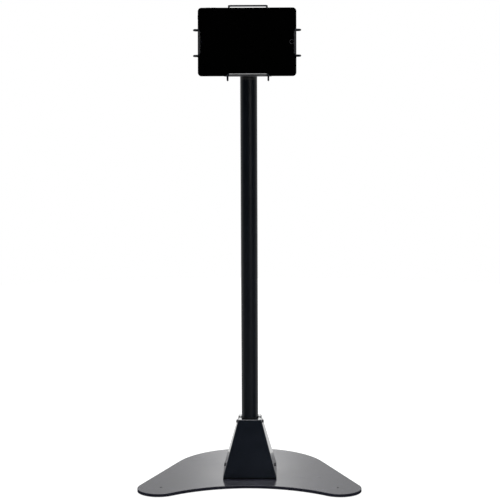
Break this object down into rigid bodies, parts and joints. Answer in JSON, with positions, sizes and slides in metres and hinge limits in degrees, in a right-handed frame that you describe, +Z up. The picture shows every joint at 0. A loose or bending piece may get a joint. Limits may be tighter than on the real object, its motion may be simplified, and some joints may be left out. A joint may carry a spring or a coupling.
{
  "type": "tablet floor stand",
  "caption": "Floor stand with a heavy curved-edge base plate, tapered pole cover and tall round pole; a tilting, turning cradle with sliding wire hooks holds a tablet.",
  "frame": {"origin": "on the floor, at the middle of the base plate's outline; the pole stands 17 mm nearer to the user", "axes": "+Z up along the pole, +X to the right as the user looks at the screen, +Y away from the user; the screen faces -Y and leans back 7.5 degrees"},
  "size_m": [0.586, 0.443, 1.2563],
  "materials": {
    "black_paint": "satin",
    "arm_paint": "satin",
    "wire_paint": "satin",
    "zinc_steel": "satin",
    "black_screws": "satin",
    "pad_rubber": "matte",
    "black_plastic": "matte",
    "knob_plastic": "matte",
    "friction_plastic": "matte",
    "sleeve_plastic": "gloss",
    "foam": "matte",
    "tablet_shell": "satin",
    "tablet_glass": "gloss",
    "tablet_button": "gloss"
  },
  "bodies": {
    "base": {"base_plate": "black_paint", "floor_pads": "pad_rubber", "pole_flange": "black_paint", "flange_screws": "zinc_steel", "pole": "black_paint", "cover_skirt": "black_paint", "cover_block": "black_plastic", "skirt_screws": "zinc_steel", "front_cover": "black_paint", "rear_cover": "black_paint", "cover_screws": "black_screws", "cover_plugs": "black_plastic", "pole_ring": "pad_rubber", "pole_cap": "black_plastic", "neck_bushing": "black_plastic", "neck": "black_paint", "neck_screws": "black_screws", "tilt_discs": "friction_plastic"},
    "tilt_head": {"tilt_arm": "black_paint", "tilt_bolt": "zinc_steel", "tilt_washer": "zinc_steel", "turn_disc": "friction_plastic"},
    "tilt_knob": {"tilt_knob": "knob_plastic"},
    "cradle": {"cradle_back": "black_paint", "cradle_guide": "black_plastic", "cradle_front": "black_paint", "cradle_screws": "black_screws", "foam_pad": "foam", "lock_nuts": "zinc_steel", "lock_washers": "zinc_steel", "turn_bolt": "zinc_steel", "turn_washer": "zinc_steel", "turn_nut": "zinc_steel", "tablet_body": "tablet_shell", "tablet_glass": "tablet_glass"},
    "tablet_button": {"tablet_button": "tablet_button"},
    "right_arm": {"right_arm": "arm_paint", "right_hook": "wire_paint", "right_rest": "black_plastic", "right_sleeve": "sleeve_plastic"},
    "right_lock_screw": {"right_lock_screw": "knob_plastic"},
    "top_arm": {"top_arm": "arm_paint", "top_hook": "wire_paint", "top_rest": "black_plastic"},
    "top_lock_screw": {"top_lock_screw": "knob_plastic"},
    "left_arm": {"left_arm": "arm_paint", "left_hook": "wire_paint", "left_rest": "black_plastic", "left_sleeve": "sleeve_plastic"},
    "left_lock_screw": {"left_lock_screw": "knob_plastic"},
    "bottom_arm": {"bottom_arm": "arm_paint", "bottom_hook": "wire_paint", "bottom_rest": "black_plastic", "bottom_sleeve": "sleeve_plastic"},
    "bottom_lock_screw": {"bottom_lock_screw": "knob_plastic"}
  },
  "joints": [
    {"name": "head_tilt", "type": "hinge", "parent": "base", "child": "tilt_head", "pos_m": [0, -0.017, 1.1505], "axis": [-1, 0, 0], "range_deg": [-17.5, 60]},
    {"name": "tilt_knob_turn", "type": "hinge", "parent": "tilt_head", "child": "tilt_knob", "pos_m": [0, -0.017, 1.1505], "axis": [1, 0, 0], "range_deg": [-360, 360]},
    {"name": "cradle_turn", "type": "hinge", "parent": "tilt_head", "child": "cradle", "pos_m": [0, -0.017, 1.1505], "axis": [0, -0.9914, 0.1305], "range_deg": [-90, 90]},
    {"name": "right_arm_slide", "type": "slide", "parent": "cradle", "child": "right_arm", "axis": [1, 0, 0], "range_m": [0, 0.04]},
    {"name": "top_arm_slide", "type": "slide", "parent": "cradle", "child": "top_arm", "axis": [0, 0.1305, 0.9914], "range_m": [0, 0.025]},
    {"name": "left_arm_slide", "type": "slide", "parent": "cradle", "child": "left_arm", "axis": [-1, 0, 0], "range_m": [0, 0.04]},
    {"name": "bottom_arm_slide", "type": "slide", "parent": "cradle", "child": "bottom_arm", "axis": [0, -0.1305, -0.9914], "range_m": [0, 0.025]},
    {"name": "right_lock_screw_turn", "type": "hinge", "parent": "cradle", "child": "right_lock_screw", "pos_m": [0.062, -0.08772, 1.15729], "axis": [0, -0.9914, 0.1305], "range_deg": [-360, 360]},
    {"name": "top_lock_screw_turn", "type": "hinge", "parent": "cradle", "child": "top_lock_screw", "pos_m": [0, -0.08165, 1.20339], "axis": [0, -0.9914, 0.1305], "range_deg": [-360, 360]},
    {"name": "left_lock_screw_turn", "type": "hinge", "parent": "cradle", "child": "left_lock_screw", "pos_m": [-0.062, -0.08772, 1.15729], "axis": [0, -0.9914, 0.1305], "range_deg": [-360, 360]},
    {"name": "bottom_lock_screw_turn", "type": "hinge", "parent": "cradle", "child": "bottom_lock_screw", "pos_m": [0, -0.09314, 1.11614], "axis": [0, -0.9914, 0.1305], "range_deg": [-360, 360]},
    {"name": "tablet_button_press", "type": "slide", "parent": "cradle", "child": "tablet_button", "axis": [0, 0.9914, -0.1305], "range_m": [0, 0.0004], "stiffness_N_per_m": 1500, "springref_m": -0.0002}
  ]
}
